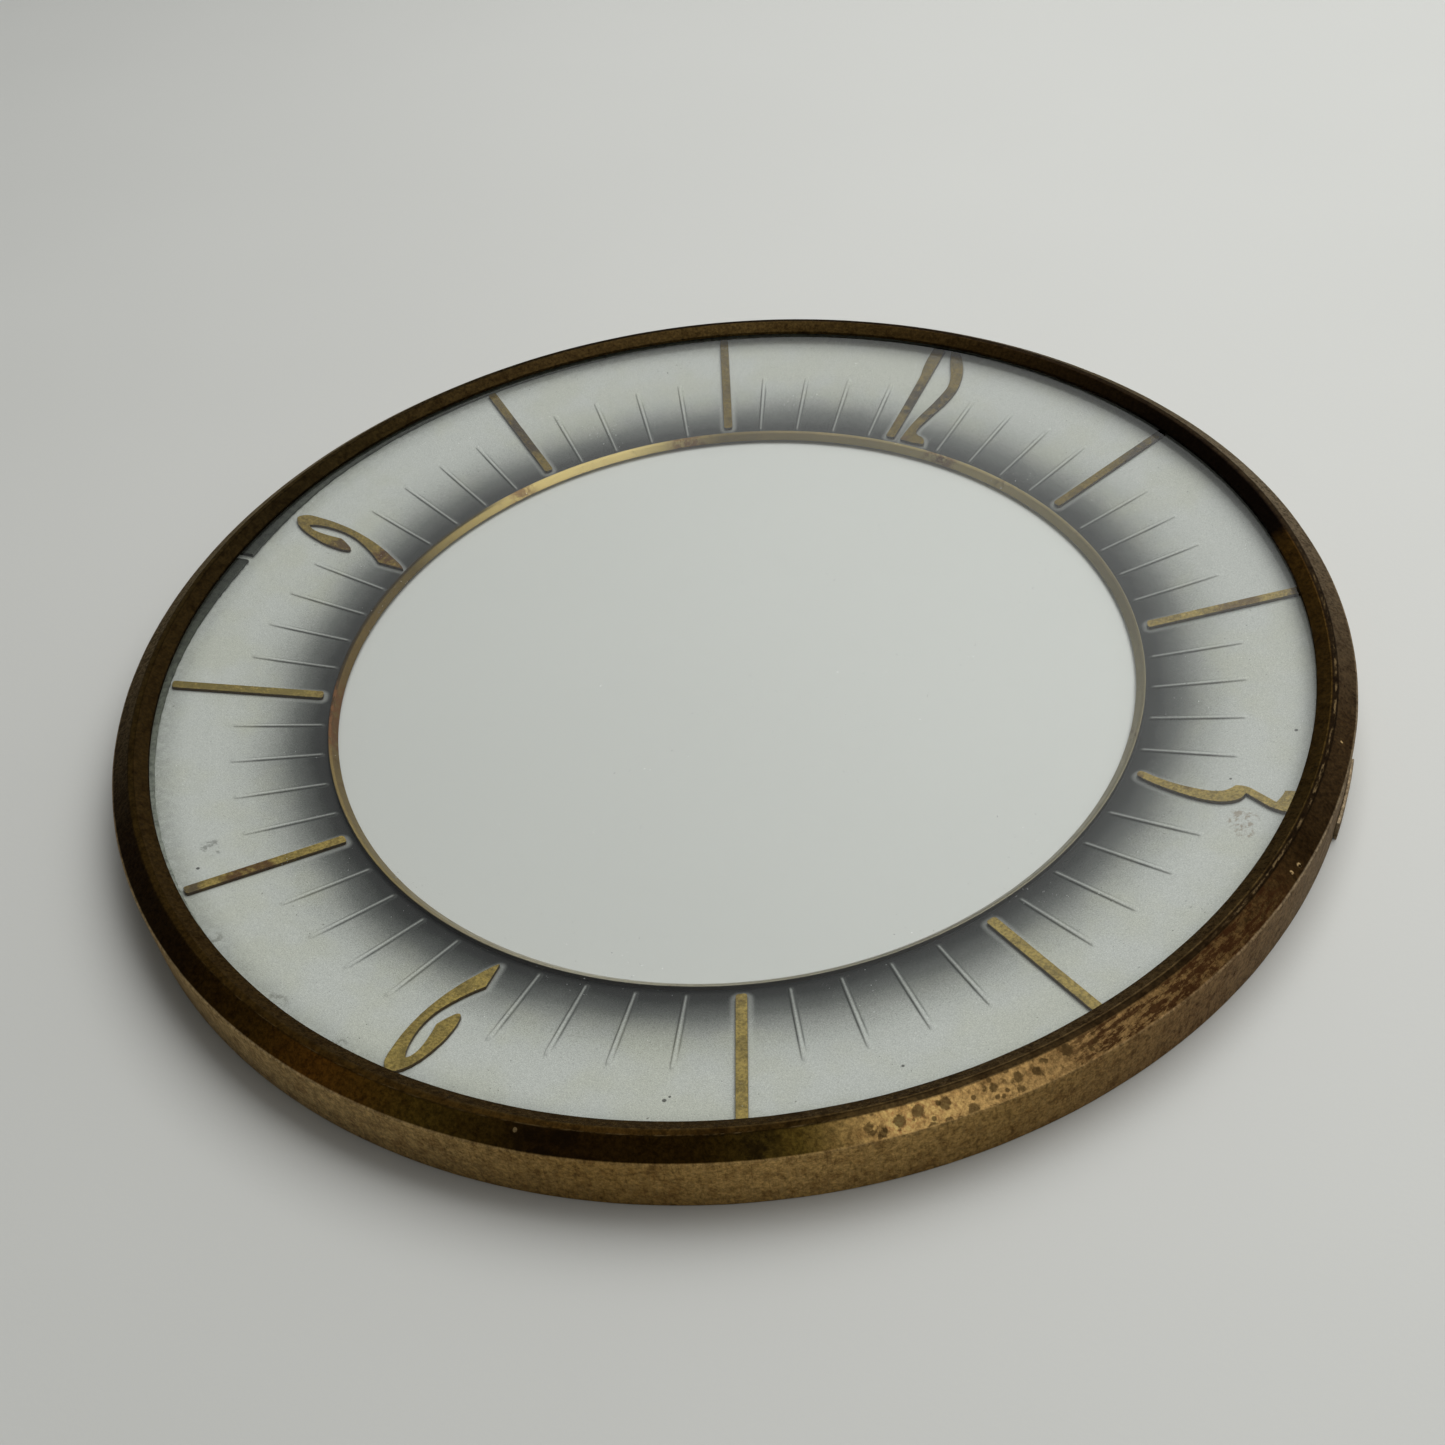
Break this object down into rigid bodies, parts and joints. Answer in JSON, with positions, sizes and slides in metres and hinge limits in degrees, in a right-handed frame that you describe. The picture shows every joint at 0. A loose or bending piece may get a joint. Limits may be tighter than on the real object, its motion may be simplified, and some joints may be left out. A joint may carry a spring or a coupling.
{
  "type": "clock bezel with glass and chapter ring",
  "caption": "Round brass clock bezel with flat glass over a dished chapter ring with raised gilt hour marks, minute ribs and a sight ring around an open centre.",
  "frame": {"origin": "On the bezel's axis, in the plane of the skirt's rear rim, which the part rests on face up.", "axes": "+Z points out of the face along the bezel's axis, +Y to twelve o'clock, +X to three o'clock and the hinge leaf."},
  "size_m": [0.1504, 0.15, 0.0083],
  "materials": {
    "tarnished_brass": "aged, mottled brown and olive with worn bright edges",
    "window_glass": "clear, flat, slightly dusty",
    "packing": "matt, perished",
    "dial_enamel": "silvered lacquer, shaded dark grey towards the centre",
    "gilt": "polished gilt with brown tarnish spots"
  },
  "bodies": {
    "root": {"bezel": "tarnished_brass", "hinge_leaf": "tarnished_brass", "glass": "window_glass", "packing_ring": "packing", "chapter_ring": "dial_enamel", "sight_ring": "gilt", "numeral_twelve": "gilt", "numeral_three": "gilt", "numeral_six": "gilt", "numeral_nine": "gilt", "retaining_tabs": "tarnished_brass", "baton_1": "gilt", "baton_2": "gilt", "baton_4": "gilt", "baton_5": "gilt", "baton_7": "gilt", "baton_8": "gilt", "baton_10": "gilt", "baton_11": "gilt"}
  },
  "joints": []
}
